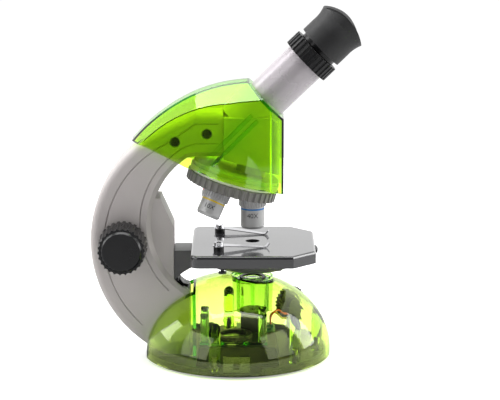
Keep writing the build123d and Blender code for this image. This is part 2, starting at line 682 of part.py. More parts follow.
ROCKER_TILT = -6.0  # the rocker lies pressed down on one side
with BuildPart() as rocker:
    rocker_plane = Plane(
        SWITCH_PLANE.from_local_coords(Vector(0, 0, -2.6)),
        x_dir=SWITCH_PLANE.x_dir.rotate(Axis.Y, ROCKER_TILT), z_dir=(0, -1, 0),
    )
    up = 1 if rocker_plane.y_dir.dot(SWITCH_PLANE.z_dir) > 0 else -1
    with BuildSketch(rocker_plane):
        with BuildLine():
            Polyline((-3.2, up * 2.0), (-3.4, up * 4.6), (0, up * 3.3), (3.4, up * 4.6), (3.2, up * 2.0))
            Polyline((3.2, up * 2.0), (1.6, up * -1.6), (-1.6, up * -1.6), (-3.2, up * 2.0))
        make_face()
        Circle(0.9 + RUN, mode=Mode.SUBTRACT)
    extrude(amount=5.2, both=True)
save(rocker.part, "rocker")

# ---------------------------------------------------------------- focus drive
with BuildPart() as focus_shaft:
    with BuildSketch(Plane((SHAFT_X, 0, SHAFT_Z), z_dir=(0, 1, 0))):
        Circle(SHAFT_R)
    extrude(amount=KNOB_FRONT - 4, both=True)
save(focus_shaft.part, "focus_shaft")


def involute(base, angle):
    """A point on the involute of a circle of radius base, unrolled by angle (radians)."""
    return Vector(
        base * (math.cos(angle) + angle * math.sin(angle)), base * (math.sin(angle) - angle * math.cos(angle))
    )


PRESSURE = math.radians(20)
PINION_TIP = PITCH_R + 0.54
PINION_ROOT = PITCH_R - 0.86
FLANK_THIN = 0.05
base_circle = PITCH_R * math.cos(PRESSURE)
tip_roll = math.sqrt((PINION_TIP / base_circle) ** 2 - 1)
pitch_roll = math.tan(PRESSURE)
pitch_spread = math.degrees(pitch_roll - PRESSURE)
half_tooth = math.degrees((math.pi * GEAR_MODULE / 4 - FLANK_THIN) / PITCH_R)

with BuildPart() as pinion:
    with BuildSketch(Plane((SHAFT_X, 0, SHAFT_Z), x_dir=(1, 0, 0), z_dir=(0, -1, 0)).offset(-5)):
        Circle(PINION_ROOT)
        for i in range(PINION_TEETH):
            middle = (i + 0.5) * 360 / PINION_TEETH
            flank = [involute(base_circle, tip_roll * j / 5) for j in range(6)]
            low = [p.rotate(Axis.Z, -half_tooth - pitch_spread + 0) for p in flank]
            low = [Vector(PINION_ROOT - 0.4, 0).rotate(Axis.Z, -half_tooth - pitch_spread)] + low
            high = [Vector(p.X, -p.Y) for p in low]
            outline = [p.rotate(Axis.Z, middle) for p in low + high[::-1]]
            with BuildLine():
                Polyline(*outline, close=True)
            make_face()
        Circle(SHAFT_R, mode=Mode.SUBTRACT)
    extrude(amount=10)
save(pinion.part, "pinion")

KNOB_TEETH = 26
for side, name in ((-1, "focus_knob_left"), (1, "focus_knob_right")):
    with BuildPart() as knob:
        face_plane = Plane((SHAFT_X, 0, SHAFT_Z), x_dir=(1, 0, 0), z_dir=(0, side, 0))
        with BuildSketch(face_plane.offset(KNOB_BACK)):
            with BuildLine():
                fluted_profile(16.3, KNOB_TEETH, 0.9)
            make_face()
        extrude(amount=KNOB_FRONT - KNOB_BACK - 1.8, taper=2.2)
        with BuildSketch(face_plane.offset(KNOB_FRONT - 1.8)):
            Circle(13.6)
        extrude(amount=1.8, taper=35)
        with BuildSketch(face_plane.offset(KNOB_BACK)):
            Circle(12.8)
            Circle(6.2, mode=Mode.SUBTRACT)
        extrude(amount=12, mode=Mode.SUBTRACT)
        with BuildSketch(face_plane):
            Circle(SHAFT_R)
        extrude(amount=KNOB_FRONT - 4, mode=Mode.SUBTRACT)
    save(knob.part, name)

# ---------------------------------------------------------------- stage
rack_pitch = math.pi * GEAR_MODULE
RACK_X = SHAFT_X + PITCH_R
with BuildPart() as stage_carriage:
    with Locations((-51.0, 0, 64.0)):
        Box(8.0, 18.6, 16.0)
    with Locations((-44.5, 0, 64.0)):
        Box(5.8, 7.6, 8.0)
    with Locations((-60.0, 0, 64.0)):
        Box(12.0, 9.0, 8.0)
    with BuildSketch(Plane.XZ.offset(-4.5)):
        with BuildLine():
            Polyline((-65.4, 58.0), (RACK_X + 0.86, 58.0), (RACK_X + 0.86, 90.6), (-65.4, 90.6), close=True)
        make_face()
        for k in range(-4, 5):
            z = SHAFT_Z + k * rack_pitch
            half_at_pitch = rack_pitch / 4 - FLANK_THIN
            tip = half_at_pitch - 0.52 * math.tan(PRESSURE)
            root = half_at_pitch + 0.9 * math.tan(PRESSURE)
            with BuildLine():
                Polyline(
                    (RACK_X + 0.9, z - root),
                    (RACK_X - 0.52, z - tip),
                    (RACK_X - 0.52, z + tip),
                    (RACK_X + 0.9, z + root),
                    close=True,
                )
            make_face()
    extrude(amount=9)
    with Locations(*[(ROD_X, s * ROD_Y, 64.0) for s in (-1, 1)]):
        Cylinder(ROD_R + RUN, 30, mode=Mode.SUBTRACT)
save(stage_carriage.part, "stage_carriage")

BRACKET_HALF = 11.5
with BuildPart() as stage_bracket:
    with BuildSketch(Plane.XZ) as bracket_side:
        with BuildLine():
            l1 = Polyline(
                (-21, 64.6), (-21, STAGE_BOTTOM), (-30.4, STAGE_BOTTOM), (-30.4, 74.0), (-41.6, 74.0)
            )
            l2 = Line(l1 @ 1, (-41.6, 53.0))
            Spline((-41.6, 53.0), (-38, 57.2), (-32, 61.4), (-26, 64.0), (-21, 64.6))
        make_face()
    extrude(amount=BRACKET_HALF, both=True)
    with BuildSketch(Plane.XZ):
        with BuildLine():
            Polyline((0, 60.4), (20, 60.4))
            ThreePointArc((20, 60.4), (29.5, 64.2), (BOWL_R, STAGE_BOTTOM))
            Polyline((BOWL_R, STAGE_BOTTOM), (0, STAGE_BOTTOM), (0, 60.4))
        make_face()
    bowl = revolve(axis=Axis.Z, mode=Mode.PRIVATE)
    add(bowl.moved(Location((OPTIC_X, 0, 0))))
    with BuildSketch(Plane.XZ):
        with BuildLine():
            Polyline((0, 62.6), (19, 62.6))
            ThreePointArc((19, 62.6), (27.6, 66.0), (BOWL_R - 3.0, STAGE_BOTTOM + 0.1))
            Polyline((BOWL_R - 3.0, STAGE_BOTTOM + 0.1), (0, STAGE_BOTTOM + 0.1), (0, 62.6))
        make_face()
    hollow = revolve(axis=Axis.Z, mode=Mode.PRIVATE)
    add(hollow.moved(Location((OPTIC_X, 0, 0))), mode=Mode.SUBTRACT)
    with Locations((OPTIC_X, 0, 62)):
        Cylinder(9.5, 12, mode=Mode.SUBTRACT)
    with BuildSketch(Plane.XY.offset(62.4)):
        with Locations((OPTIC_X - 20, -14), (OPTIC_X - 20, 14), (OPTIC_X + 16, -18), (OPTIC_X + 16, 18)):
            Circle(3.6)
    extrude(amount=STAGE_BOTTOM - 62.4)
    with BuildSketch(Plane.XY.offset(59)):
        with Locations((OPTIC_X - 20, -14), (OPTIC_X - 20, 14)):
            Circle(1.7)
    extrude(amount=STAGE_BOTTOM - 58, mode=Mode.SUBTRACT)
save(stage_bracket.part, "stage_bracket")

with BuildPart() as stage_plate:
    with BuildSketch(Plane.XY.offset(STAGE_BOTTOM)):
        with Locations(((STAGE_BACK + STAGE_FRONT) / 2, 0)):
            Rectangle(STAGE_FRONT - STAGE_BACK, 2 * STAGE_HALF)
    extrude(amount=STAGE_TOP - STAGE_BOTTOM)
    chamfer(stage_plate.edges().filter_by(Axis.Z).group_by(Axis.X)[-1], 15)
    fillet(stage_plate.edges().filter_by(Axis.Z).group_by(Axis.X)[0], 6)
    fillet(stage_plate.faces().sort_by(Axis.Z)[-1].edges(), 2.0)
    with BuildSketch(Plane.XY.offset(STAGE_BOTTOM)):
        with BuildLine():
            back, front, wide = STAGE_BACK + STAGE_WALL, STAGE_FRONT - STAGE_WALL, STAGE_HALF - STAGE_WALL
            Polyline(
                (back, -wide), (front - 14.0, -wide), (front, -wide + 14.0), (front, wide - 14.0),
                (front - 14.0, wide), (back, wide), close=True,
            )
        make_face()
        fillet(sorted(vertices(), key=lambda v: v.X)[:2], 4)
    extrude(amount=STAGE_TOP - STAGE_BOTTOM - STAGE_WALL, mode=Mode.SUBTRACT)
    # boss round the aperture, wheel axle post and screw bosses
    with BuildSketch(Plane.XY.offset(STAGE_BOTTOM)):
        with Locations((OPTIC_X - 20, -14), (OPTIC_X - 20, 14)):
            Circle(3.6)
    extrude(amount=STAGE_TOP - STAGE_BOTTOM - 1)
    with BuildSketch(Plane.XY.offset(STAGE_TOP - STAGE_WALL - 1.6)):
        with Locations((OPTIC_X + WHEEL_OFFSET, 0)):
            Circle(4.5)
    extrude(amount=1.7)
    with BuildSketch(Plane.XY.offset(70.9)):
        with Locations((OPTIC_X + WHEEL_OFFSET, 0)):
            Circle(2.5)
    extrude(amount=4)
    with BuildSketch(Plane.XY.offset(STAGE_BOTTOM - 1)):
        with Locations((OPTIC_X - 20, -14), (OPTIC_X - 20, 14)):
            Circle(1.2)
        with Locations((OPTIC_X + WHEEL_OFFSET, 0)):
            Circle(1.1)
    extrude(amount=6.5, mode=Mode.SUBTRACT)
    with Locations((OPTIC_X, 0, STAGE_TOP - 1)):
        Cylinder(APERTURE_R, 6, mode=Mode.SUBTRACT)
    with Locations(*[(POST_X, s * POST_Y, STAGE_TOP - 1) for s in (-1, 1)]):
        Cylinder(1.8, 6, mode=Mode.SUBTRACT)
    with Locations((STAGE_FRONT, 0, 72.45)):
        Box(12, 31.0, 2.7, mode=Mode.SUBTRACT)
save(stage_plate.part, "stage_plate")

with BuildPart() as stage_screws:
    for y in (-14, 14):
        with Locations((OPTIC_X - 20, y, 59.7)):
            Cylinder(2.7, 1.2)
        with Locations((OPTIC_X - 20, y, 67.0)):
            Cylinder(1.2, 14.4)
    with Locations((OPTIC_X + WHEEL_OFFSET, 0, 70.2)):
        Cylinder(4.4, 1.2)
    with Locations((OPTIC_X + WHEEL_OFFSET, 0, 72.4)):
        Cylinder(1.1, 4.2)
save(stage_screws.part, "stage_screws")

with BuildPart() as clip_posts:
    for s in (-1, 1):
        with Locations((POST_X, s * POST_Y, STAGE_TOP + 1.3)):
            Cylinder(3.4, 2.6)
        with Locations((POST_X, s * POST_Y, STAGE_TOP - 1.6)):
            Cylinder(1.8, 3.4)
        with Locations((POST_X, s * POST_Y, STAGE_TOP + 3.2)):
            Cylinder(1.2, 3.2)
save(clip_posts.part, "clip_posts")

CLIP_Z = STAGE_TOP + 2.7
for side, name in ((-1, "clip_left"), (1, "clip_right")):
    lead = 13.6
    clip_dir = Vector(1, 0, 0).rotate(Axis.Z, -side * lead)
    across = clip_dir.cross(Vector(0, 0, 1))
    clip_plane = Plane((POST_X, side * POST_Y, CLIP_Z), x_dir=clip_dir, z_dir=across)
    with BuildPart() as clip:
        with BuildSketch(clip_plane):
            with BuildLine():
                Polyline(
                    (-4.2, 0.05), (-4.2, 0.55), (5.1, 0.55), (30.1, -1.95), (32.2, -1.6), (33.7, 0.4),
                    (34.2, 0.0), (32.6, -2.1), (30.0, -2.5), (5.0, 0.05), close=True,
                )
            make_face()
        extrude(amount=6, both=True)
        with BuildSketch(Plane((POST_X, side * POST_Y, STAGE_TOP - 2), x_dir=clip_dir, z_dir=(0, 0, 1))):
            Circle(4.0)
            with BuildLine():
                Polyline((0, -3.9), (34.6, -1.7), (34.6, 1.7), (0, 3.9), close=True)
            make_face()
            Circle(1.2 + RUN, mode=Mode.SUBTRACT)
        extrude(amount=8, mode=Mode.INTERSECT)
        with BuildSketch(Plane.XY.offset(CLIP_Z + 0.6)):
            with Locations((POST_X, side * POST_Y)):
                Circle(3.0)
                Circle(1.2 + RUN, mode=Mode.SUBTRACT)
        rivet = extrude(amount=2.0)
        fillet(clip.edges().filter_by(GeomType.CIRCLE).sort_by(Axis.Z)[-1], 0.3)
    save(clip.part, name)

WHEEL_AT = (OPTIC_X + WHEEL_OFFSET, 0)
with BuildPart() as filter_wheel:
    with BuildSketch(Plane((WHEEL_AT[0], 0, 71.3), x_dir=(-1, 0, 0), z_dir=(0, 0, 1))):
        with BuildLine():
            fluted_profile(WHEEL_R, 48, 0.8)
        make_face()
        with PolarLocations(WHEEL_OFFSET, 6):
            Circle(FILTER_R - 0.8, mode=Mode.SUBTRACT)
        Circle(2.5 + RUN, mode=Mode.SUBTRACT)
    extrude(amount=2.0)
    with BuildSketch(Plane((WHEEL_AT[0], 0, 72.3), x_dir=(-1, 0, 0), z_dir=(0, 0, 1))):
        with PolarLocations(WHEEL_OFFSET, 6):
            Circle(FILTER_R)
    extrude(amount=1.2, mode=Mode.SUBTRACT)
save(filter_wheel.part, "filter_wheel")

with BuildPart() as colour_filters:
    with BuildSketch(Plane((WHEEL_AT[0], 0, 72.3), x_dir=(-1, 0, 0), z_dir=(0, 0, 1))):
        with PolarLocations(WHEEL_OFFSET, 5, start_angle=60, angular_range=240, endpoint=True):
            Circle(FILTER_R - 0.1)
    extrude(amount=0.8)
save(colour_filters.part, "colour_filters")

# ---------------------------------------------------------------- head
SEAT_TOP, SEAT_BOTTOM, BLOCK_H = 40.0, 46.7, 33.5
BLOCK_HALF = 16.5
SOCKET_OUT, TUBE_R, TUBE_BORE = 16.0, 14.2, 12.6
TUBE_START, TUBE_STOP = 9.0, 48.0


def below_z(x, h):
    """Height of the plane at distance h down the nosepiece axis, at the given X."""
    return APEX_Z - (h + sin_t * (x - OPTIC_X)) / cos_t


with BuildPart() as head_block:
    with BuildSketch(Plane.XZ):
        with BuildLine():
            left, right = ARM_END + 0.1, 27.6
            Polyline(
                (left, 164), (22, 164), (right, 158), (right, below_z(right, BLOCK_H)),
                (left, below_z(left, BLOCK_H)), close=True,
            )
        make_face()
    extrude(amount=BLOCK_HALF, both=True)
    fillet(head_block.edges().filter_by(Axis.Z).group_by(Axis.X)[-1], 5)
    with BuildSketch(TUBE_PLANE.offset(-12)):
        Circle(SOCKET_OUT)
    extrude(amount=22.6)
    with BuildSketch(TURRET_PLANE.offset(BLOCK_H - 2)):
        with Locations((BLOCK_H * sin_t / cos_t, 0)):
            Circle(9.8)
    extrude(amount=SEAT_TOP - BLOCK_H + 2)
    # hollow
    with BuildSketch(Plane.XZ):
        with BuildLine():
            left, right = ARM_END + 2.4, 25.2
            Polyline(
                (left, 161.6), (21, 161.6), (right, 157), (right, below_z(right, BLOCK_H - 2.4)),
                (left, below_z(left, BLOCK_H - 2.4)), close=True,
            )
        make_face()
    extrude(amount=BLOCK_HALF - 2.4, both=True, mode=Mode.SUBTRACT)
    with BuildSketch(TUBE_PLANE.offset(-10)):
        Circle(SOCKET_OUT - 1.7)
    extrude(amount=30, mode=Mode.SUBTRACT)
    with BuildSketch(Plane(APEX, z_dir=(0, 0, -1)).offset(20)):
        Circle(7.0)
    extrude(amount=40, mode=Mode.SUBTRACT)
    # tongue inside the arm
    with Locations(((TONGUE[0] + ARM_END + 0.5) / 2, 0, (TONGUE[1] + TONGUE[2]) / 2)):
        Box(ARM_END + 0.5 - TONGUE[0], 24.8, TONGUE[2] - TONGUE[1])
    with BuildSketch(Plane((ARM_SCREWS[1][0], 0, ARM_SCREWS[1][1]), z_dir=(0, 1, 0))):
        Circle(1.3)
    extrude(amount=30, both=True, mode=Mode.SUBTRACT)
save(head_block.part, "head_block")

mirror_normal = Vector(cos_e, 0, sin_e - 1).normalized()
MIRROR_PLANE = Plane(APEX, x_dir=(0, 1, 0), z_dir=mirror_normal)
with BuildPart() as head_mirror:
    with BuildSketch(MIRROR_PLANE):
        Rectangle(17, 14)
    extrude(amount=-1.5)
save(head_mirror.part, "head_mirror")

with BuildPart() as nosepiece_seat:
    with BuildSketch(TURRET_PLANE.offset(SEAT_TOP)):
        Circle(28.5)
    extrude(amount=2.4)
    with BuildSketch(TURRET_PLANE.offset(SEAT_TOP + 2.4)):
        Circle(29.6)
    extrude(amount=SEAT_BOTTOM - SEAT_TOP - 2.4)
    with BuildSketch(TURRET_PLANE.offset(SEAT_TOP - 1)):
        with Locations((42 * sin_t / cos_t, 0)):
            Circle(7.0)
    extrude(amount=20, mode=Mode.SUBTRACT)
    with BuildSketch(TURRET_PLANE.offset(SEAT_TOP - 1)):
        Circle(1.6)
        with Locations((-24, 0)):
            Circle(1.45)
    extrude(amount=20, mode=Mode.SUBTRACT)
save(nosepiece_seat.part, "nosepiece_seat")

with BuildPart() as detent_ball:
    with Locations(TURRET_PLANE * Location((-24, 0, SEAT_BOTTOM - 0.8))):
        Sphere(1.4)
save(detent_ball.part, "detent_ball")

with BuildPart() as turret_axle:
    with BuildSketch(TURRET_PLANE.offset(SEAT_TOP + 0.4)):
        Circle(1.6)
    extrude(amount=SEAT_BOTTOM - SEAT_TOP)
    with BuildSketch(TURRET_PLANE.offset(SEAT_BOTTOM)):
        Circle(3.0)
    extrude(amount=TURRET_BOTTOM - SEAT_BOTTOM + 0.1)
    with BuildSketch(TURRET_PLANE.offset(TURRET_BOTTOM + 0.1)):
        Circle(5.4)
    extrude(amount=1.6)
    with BuildSketch(TURRET_PLANE.offset(TURRET_BOTTOM + 1.0)):
        Rectangle(6.6, 0.9)
    extrude(amount=1, mode=Mode.SUBTRACT)
save(turret_axle.part, "turret_axle")


RIDGE = [
    (-68.8, 147.4), (-57.2, 159.5), (-47.0, 167.6), (-36.9, 174.0), (-26.8, 179.0),
    (-14.0, 183.4), (-3.3, 185.6), (8.0, 186.8),
]


def inset_ridge(inset):
    """The ridge line of the head cover, moved inwards by inset."""
    points = []
    for i, point in enumerate(RIDGE):
        before = Vector(*RIDGE[max(i - 1, 0)])
        after = Vector(*RIDGE[min(i + 1, len(RIDGE) - 1)])
        run = (after - before).normalized()
        points.append(Vector(*point) + Vector(run.Y, -run.X) * inset)
    points[-1] = Vector(*RIDGE[-1]) + Vector(-0.380, -1.046) * inset
    return points


def hood_face(inset, drop):
    """Side view of the see-through head cover, moved in by inset and with its lower edge dropped."""
    ridge = inset_ridge(inset)
    front = COVER_FRONT - inset
    tail = Vector(-61.7, 146.2) if not drop else Vector(ridge[0].X + 0.1, 128.0)
    with BuildSketch(Plane.XZ) as face:
        with BuildLine():
            Spline(*ridge)
            Polyline(
                ridge[-1], (front, 163.2 - 0.404 * inset), (front, below_z(front, 44.5) - drop),
                (-33.0, below_z(-33.0, 44.5) - drop), tail, ridge[0],
            )
        make_face()
    return face.sketch


def hood_main(inset, drop):
    """The hood without its bell: side view and plan view crossed, with the ridge's two edges bevelled."""
    with BuildPart() as body:
        with BuildSketch(Plane.XZ):
            add(hood_face(inset, drop))
        extrude(amount=60, both=True)
        with BuildSketch(Plane.XY.offset(90)):
            with BuildLine():
                Polyline(
                    (-75, -17.6 + inset), (-45, -18.6 + inset), (-25, -21 + inset), (-5, -24 + inset),
                    (COVER_FRONT - 8 - inset / 2, -24 + inset), (COVER_FRONT - inset, -17 + inset / 2),
                    (COVER_FRONT - inset, 17 - inset / 2), (COVER_FRONT - 8 - inset / 2, 24 - inset),
                    (-5, 24 - inset), (-25, 21 - inset), (-45, 18.6 - inset), (-75, 17.6 - inset), close=True,
                )
            make_face()
        extrude(amount=110, mode=Mode.INTERSECT)
    trimmed = body.part
    for side in (-1, 1):
        with BuildPart() as wedge:
            for y, fall in ((7.0 - inset * 0.3, 0.0), (26.5, 12.0)):
                with BuildSketch(Plane.XZ.offset(-side * y)):
                    with BuildLine():
                        ridge = [Vector(x, z - fall - inset) for x, z in RIDGE]
                        first = ridge[0] + Vector(-6, -7)
                        last = ridge[-1] + Vector(12, 1)
                        Spline(*ridge)
                        Polyline(ridge[-1], last, (last.X, 215), (first.X, 215), first, ridge[0])
                    make_face()
            loft()
        trimmed = trimmed - wedge.part
    return trimmed


def hood_body(inset, drop):
    """The closed shape of the head cover, moved in by inset and stretched downwards by drop."""
    with BuildPart() as body:
        add(hood_main(inset, drop))
        # bell round the nosepiece
        with BuildSketch(TURRET_PLANE.offset(18)):
            Circle(21 - inset)
        with BuildSketch(TURRET_PLANE.offset(36)):
            Circle(29.5 - inset)
        bell = loft(mode=Mode.PRIVATE)
        with BuildSketch(TURRET_PLANE.offset(36)):
            Circle(29.5 - inset)
        with BuildSketch(TURRET_PLANE.offset(44.5)):
            Circle(32.6 - inset)
        rim = loft(mode=Mode.PRIVATE)
        pieces = bell + rim
        if drop:
            with BuildSketch(TURRET_PLANE.offset(44.5)):
                Circle(32.6 - inset)
            pieces = pieces + extrude(amount=drop, mode=Mode.PRIVATE)
        with Locations((COVER_FRONT - inset - 100, 0, 130)):
            keep = Box(200, 200, 200, mode=Mode.PRIVATE)
        add(pieces & keep)
    return body.part


with BuildPart() as head_cover:
    add(hood_body(0, 0))
    add(hood_body(COVER_WALL, 12), mode=Mode.SUBTRACT)
    # two stiffening ribs on the inside of each wall
    rib_dir = Vector(30.7, 0, 31.1).normalized()
    for side in (-1, 1):
        for across in (-2.6, 2.6):
            mid = Vector(-3.0, side * 21.6, 149.8) + Vector(-rib_dir.Z, 0, rib_dir.X) * across
            with Locations(Plane(mid, x_dir=rib_dir, z_dir=(0, 1, 0)).location):
                rib = Box(42, 2.4, 4.0, mode=Mode.PRIVATE)
            add(rib & hood_body(0.3, 0))
    with BuildSketch(TUBE_PLANE):
        Circle(TUBE_R + 0.25)
    extrude(amount=40, mode=Mode.SUBTRACT)
    with BuildSketch(Plane.XZ):
        add(arm_face(-0.15, -0.15, ARM_END, ARM_FOOT, ARM_FRONT))
    extrude(amount=ARM_HALF + 0.15, both=True, mode=Mode.SUBTRACT)
save(head_cover.part, "head_cover")

# ---------------------------------------------------------------- eyepiece
RING_START, RING_STOP, NECK_STOP, CUP_STOP = 48.3, 58.7, 63.0, 88.3

with BuildPart() as eyepiece_tube:
    with BuildSketch(TUBE_PLANE.offset(TUBE_START)):
        Circle(TUBE_R)
        Circle(TUBE_BORE, mode=Mode.SUBTRACT)
    extrude(amount=TUBE_STOP - TUBE_START)
save(eyepiece_tube.part, "eyepiece_tube")

with BuildPart() as eyepiece_barrel:
    with BuildSketch(TUBE_PLANE.offset(30)):
        Circle(TUBE_BORE - 0.06)
        Circle(10.6, mode=Mode.SUBTRACT)
    extrude(amount=TUBE_STOP - 30)
    with BuildSketch(TUBE_PLANE.offset(TUBE_STOP)):
        Circle(11.5)
        Circle(9.6, mode=Mode.SUBTRACT)
    extrude(amount=RING_STOP + 0.2 - TUBE_STOP)
    with BuildSketch(TUBE_PLANE.offset(46)):
        Circle(11.0)
        Circle(9.6, mode=Mode.SUBTRACT)
    extrude(amount=4)
save(eyepiece_barrel.part, "eyepiece_barrel")

with BuildPart() as eyepiece_neck:
    with BuildSketch(TUBE_PLANE.offset(RING_STOP + 0.2)):
        Circle(13.5)
        Circle(8.6, mode=Mode.SUBTRACT)
    extrude(amount=8.0)
    with BuildSketch(TUBE_PLANE.offset(RING_STOP + 2.0)):
        Circle(10.0)
    extrude(amount=20, mode=Mode.SUBTRACT)
    with BuildSketch(TUBE_PLANE.offset(RING_STOP + 7.0)):
        Circle(10.5)
        Circle(7.0, mode=Mode.SUBTRACT)
    extrude(amount=1.2)
save(eyepiece_neck.part, "eyepiece_neck")

with BuildPart() as zoom_ring:
    with BuildSketch(TUBE_PLANE.offset(RING_START)):
        with BuildLine():
            fluted_profile(17.4, 30, 0.9)
        make_face()
        Circle(11.5 + RUN, mode=Mode.SUBTRACT)
    extrude(amount=RING_STOP - RING_START)
save(zoom_ring.part, "zoom_ring")


def lens_body(plane, radius, edge, bulge):
    """A lens standing on the plane's axis: a disc whose two faces bulge outwards."""
    arc_r = (radius**2 + bulge**2) / (2 * bulge)
    mid_rise = edge / 2 + bulge - arc_r + math.sqrt(arc_r**2 - (radius / 2) ** 2)
    with BuildPart() as glass:
        profile_plane = Plane(plane.origin, x_dir=plane.x_dir, z_dir=plane.x_dir.cross(plane.z_dir))
        with BuildSketch(profile_plane):
            with BuildLine():
                Line((radius, -edge / 2), (radius, edge / 2))
                ThreePointArc((radius, edge / 2), (radius / 2, mid_rise), (0, edge / 2 + bulge))
                Line((0, edge / 2 + bulge), (0, -edge / 2 - bulge))
                ThreePointArc((0, -edge / 2 - bulge), (radius / 2, -mid_rise), (radius, -edge / 2))
            make_face()
        revolve(axis=Axis(plane.origin, plane.z_dir))
    return glass.part


save(lens_body(TUBE_PLANE.offset(RING_STOP + 4.4), 9.9, 1.6, 0.9), "eye_lens")
save(lens_body(TUBE_PLANE.offset(32.0), 10.5, 1.6, 0.8), "field_lens")

with BuildPart() as eyecup:
    cup_plane = Plane(APEX, x_dir=TUBE_PLANE.x_dir, z_dir=TUBE_PLANE.x_dir.cross(TUBE_PLANE.z_dir))
    with BuildSketch(cup_plane):
        with BuildLine():
            Polyline((13.55, 61.8), (16.2, 61.8), (16.2, 71.0))
            ThreePointArc((16.2, 71.0), (16.5, 77.0), (18.0, 82.0))
            Polyline((18.0, 82.0), (19.2, CUP_STOP), (17.4, CUP_STOP), (16.2, 82.0))
            ThreePointArc((16.2, 82.0), (14.9, 77.0), (13.2, 71.0))
            Polyline((13.2, 71.0), (9.0, 68.6), (9.0, 67.0), (13.55, 67.0), (13.55, 61.8))
        make_face()
    revolve(axis=Axis(APEX, TUBE_PLANE.z_dir))
    with BuildSketch(Plane(APEX, x_dir=(0, 1, 0), z_dir=TUBE_PLANE.x_dir)):
        with BuildLine():
            ThreePointArc((-20, 88.8), (0, 81.6), (20, 88.8))
            Polyline((20, 88.8), (20, 110), (-20, 110), (-20, 88.8))
        make_face()
    extrude(amount=40, both=True, mode=Mode.SUBTRACT)
save(eyecup.part, "eyecup")

# ---------------------------------------------------------------- turret and objectives
with BuildPart() as turret_disc:
    with BuildSketch(TURRET_PLANE.offset(TURRET_TOP)):
        with BuildLine():
            fluted_profile(TURRET_R, 40, 1.0)
        make_face()
    extrude(amount=TURRET_BOTTOM - TURRET_TOP)
    with BuildSketch(TURRET_PLANE.offset(TURRET_BOTTOM - 2.4)):
        Circle(28.0)
    extrude(amount=4.4, mode=Mode.SUBTRACT)
    with BuildSketch(TURRET_PLANE.offset(TURRET_BOTTOM - 2.5)):
        Circle(7.5)
    extrude(amount=2.5)
    for turn, reach in OBJECTIVES.values():
        with BuildSketch(objective_plane(turn).offset(51.0)):
            Circle(8.6)
        extrude(amount=7.0)
    with BuildSketch(TURRET_PLANE.offset(20)):
        Circle(60)
    extrude(amount=TURRET_TOP - 20, mode=Mode.SUBTRACT)
    for turn, reach in OBJECTIVES.values():
        with BuildSketch(objective_plane(turn).offset(40.0)):
            Circle(6.4)
        extrude(amount=30.0, mode=Mode.SUBTRACT)
    with BuildSketch(TURRET_PLANE.offset(TURRET_TOP - 1)):
        Circle(3.0 + RUN)
    extrude(amount=20, mode=Mode.SUBTRACT)
    with BuildSketch(TURRET_PLANE.offset(TURRET_TOP)):
        Circle(25.8)
        Circle(22.2, mode=Mode.SUBTRACT)
    extrude(amount=1.2, mode=Mode.SUBTRACT)
save(turret_disc.part, "turret_disc")

for name, (turn, reach) in OBJECTIVES.items():
    aim = objective_plane(turn)
    with BuildPart() as barrel:
        with BuildSketch(aim.offset(51.6)):
            Circle(6.35)
        extrude(amount=6.5)
        with BuildSketch(aim.offset(58.1)):
            with BuildLine():
                fluted_profile(9.1, 30, 0.45)
            make_face()
        extrude(amount=4.9)
        with BuildSketch(aim.offset(63.0)):
            Circle(7.95)
        extrude(amount=reach - 63.0 - 1.5)
        with BuildSketch(aim.offset(reach - 1.5)):
            Circle(7.95)
        extrude(amount=1.5, taper=30)
        with BuildSketch(aim.offset(49.0)):
            Circle(5.0)
        extrude(amount=reach, mode=Mode.SUBTRACT)
        with BuildSketch(aim.offset(reach - 2.5)):
            Circle(5.1)
            Circle(3.0, mode=Mode.SUBTRACT)
        extrude(amount=2.2)
    save(barrel.part, name)
    save(lens_body(aim.offset(reach - 4.2), 4.95, 1.8, 0.6), f"{name}_lens")
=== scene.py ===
"""Looks for the kids' microscope: every CAD node gets its finish, and the small visible details that the
CAD leaves out (colour rings, magnification numbers, switch dots, clip screws) are added here."""

import math

import bpy
from mathutils import Matrix, Vector


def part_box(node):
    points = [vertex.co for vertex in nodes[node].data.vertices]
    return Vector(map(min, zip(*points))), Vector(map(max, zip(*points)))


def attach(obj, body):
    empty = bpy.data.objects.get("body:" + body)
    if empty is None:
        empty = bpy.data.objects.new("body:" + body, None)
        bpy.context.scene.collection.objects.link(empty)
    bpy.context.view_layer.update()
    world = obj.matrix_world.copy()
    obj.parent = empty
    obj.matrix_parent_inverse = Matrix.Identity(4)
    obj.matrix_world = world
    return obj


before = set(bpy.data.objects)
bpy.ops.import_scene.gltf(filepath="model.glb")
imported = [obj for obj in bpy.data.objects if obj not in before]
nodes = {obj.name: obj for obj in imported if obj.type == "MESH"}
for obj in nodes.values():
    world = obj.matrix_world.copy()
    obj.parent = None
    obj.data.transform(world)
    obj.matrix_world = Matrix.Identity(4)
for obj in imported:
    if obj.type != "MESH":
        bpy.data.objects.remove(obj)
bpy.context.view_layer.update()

MM = 0.001
MIX_FACTOR, MIX_A, MIX_B, MIX_RESULT = 0, 6, 7, 2  # colour sockets of the Mix node, which share their names

# ---------------------------------------------------------------- places shared with the CAD model
OPTIC_X, APEX_Z = 10.5 * MM, 165.5 * MM
APEX = Vector((OPTIC_X, 0, APEX_Z))
TURRET_TURN = math.radians(16)
TURRET_AXIS = Vector((-math.sin(TURRET_TURN), 0, -math.cos(TURRET_TURN)))
TURRET_SIDE = Vector((math.cos(TURRET_TURN), 0, -math.sin(TURRET_TURN)))
X_AXIS, Y_AXIS, Z_AXIS = Vector((1, 0, 0)), Vector((0, 1, 0)), Vector((0, 0, 1))
THROAT_CENTRE, THROAT_R = Vector((-2.5 * MM, 0, 92.0 * MM)), 54.0 * MM
POST_X, POST_Y = -11.7 * MM, 26.4 * MM
BARREL_R = 7.95 * MM


